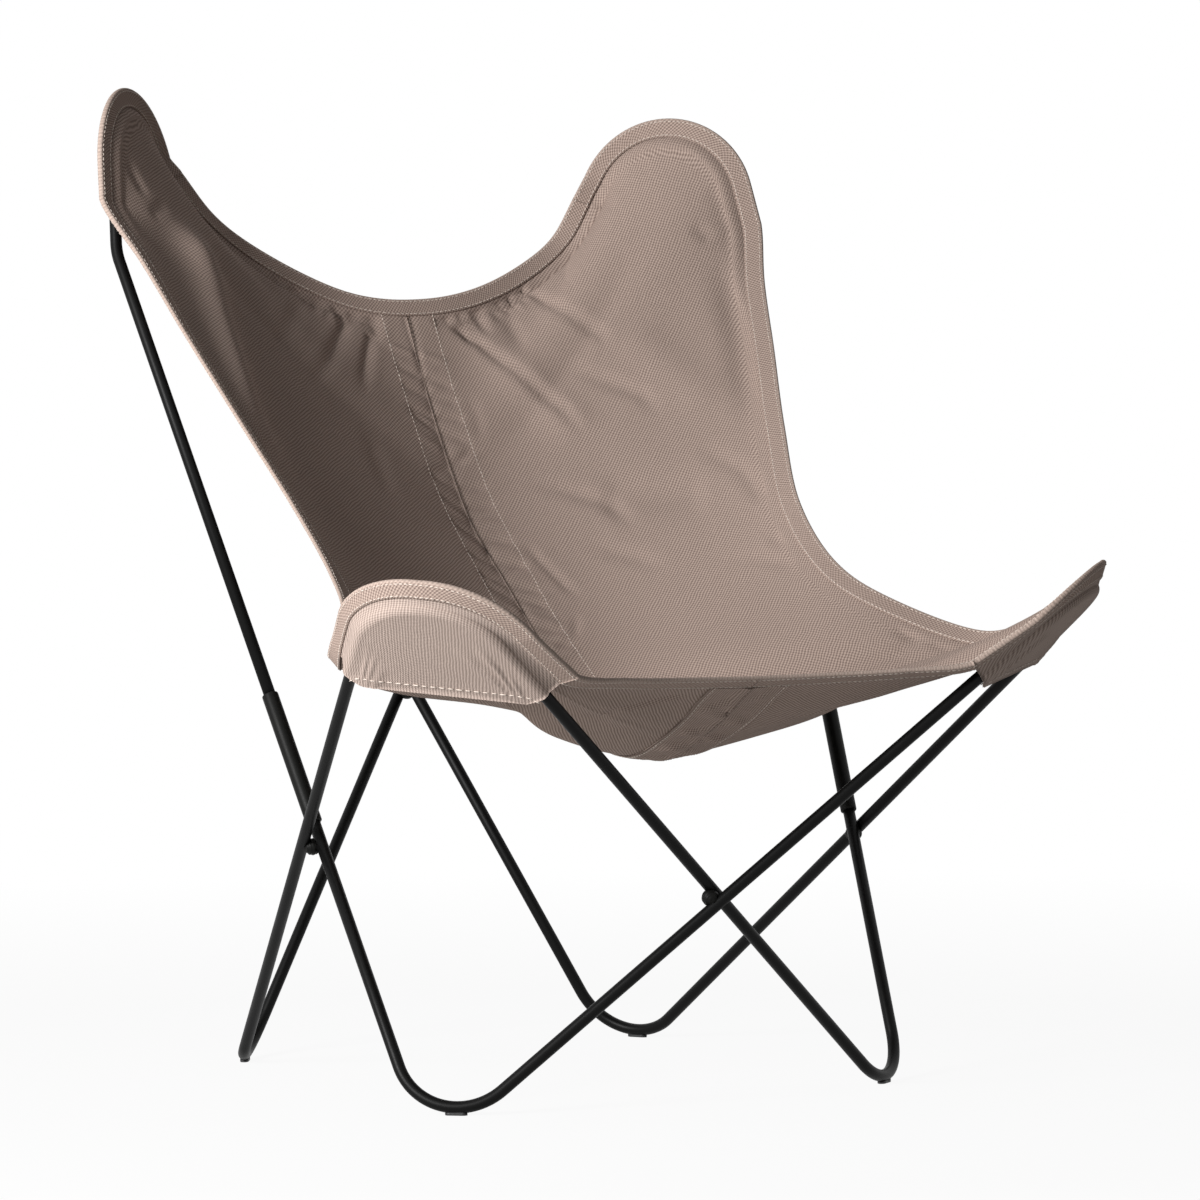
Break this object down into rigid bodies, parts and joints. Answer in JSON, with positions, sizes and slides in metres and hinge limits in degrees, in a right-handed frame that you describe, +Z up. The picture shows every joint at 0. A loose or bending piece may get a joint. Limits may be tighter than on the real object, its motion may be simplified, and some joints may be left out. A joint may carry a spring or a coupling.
{
  "type": "butterfly sling chair",
  "caption": "Butterfly lounge chair: a bent steel rod frame that crosses low down and a canvas sling with pockets over its two front corners and two tall back horns.",
  "frame": {"origin": "centre of the object's box in plan, at floor level under the glides", "axes": "+Z up, -Y towards the front of the seat, +X to the sitter's left as seen from the front"},
  "size_m": [0.737, 0.8202, 0.9155],
  "materials": {
    "frame_rod": "satin black powder coat on bent steel rod",
    "frame_socket": "satin black powder coat on steel tube",
    "frame_weld": "satin black powder coat over a rippled weld",
    "floor_glide": "moulded matt black plastic",
    "sling_canvas": "heavy cotton twill canvas, matt",
    "pocket_canvas": "the same twill canvas, doubled and topstitched",
    "edge_tape": "folded twill binding, topstitched twice",
    "middle_tape": "wide twill reinforcing band, topstitched"
  },
  "bodies": {
    "root": {"lower_rod_right": "frame_rod", "back_hoop_right": "frame_rod", "side_socket_right": "frame_socket", "rear_socket_right": "frame_socket", "front_glide_right": "floor_glide", "back_glide_right": "floor_glide", "side_weld_right": "frame_weld", "sling_panel_right": "sling_canvas", "front_pocket_right": "pocket_canvas", "horn_pocket_right": "pocket_canvas", "edge_tape_right": "edge_tape", "lower_rod_left": "frame_rod", "back_hoop_left": "frame_rod", "side_socket_left": "frame_socket", "rear_socket_left": "frame_socket", "front_glide_left": "floor_glide", "back_glide_left": "floor_glide", "side_weld_left": "frame_weld", "sling_panel_left": "sling_canvas", "front_pocket_left": "pocket_canvas", "horn_pocket_left": "pocket_canvas", "edge_tape_left": "edge_tape", "front_weld": "frame_weld", "back_weld": "frame_weld", "front_tape": "edge_tape", "back_tape": "edge_tape", "middle_tape": "middle_tape"}
  },
  "joints": []
}
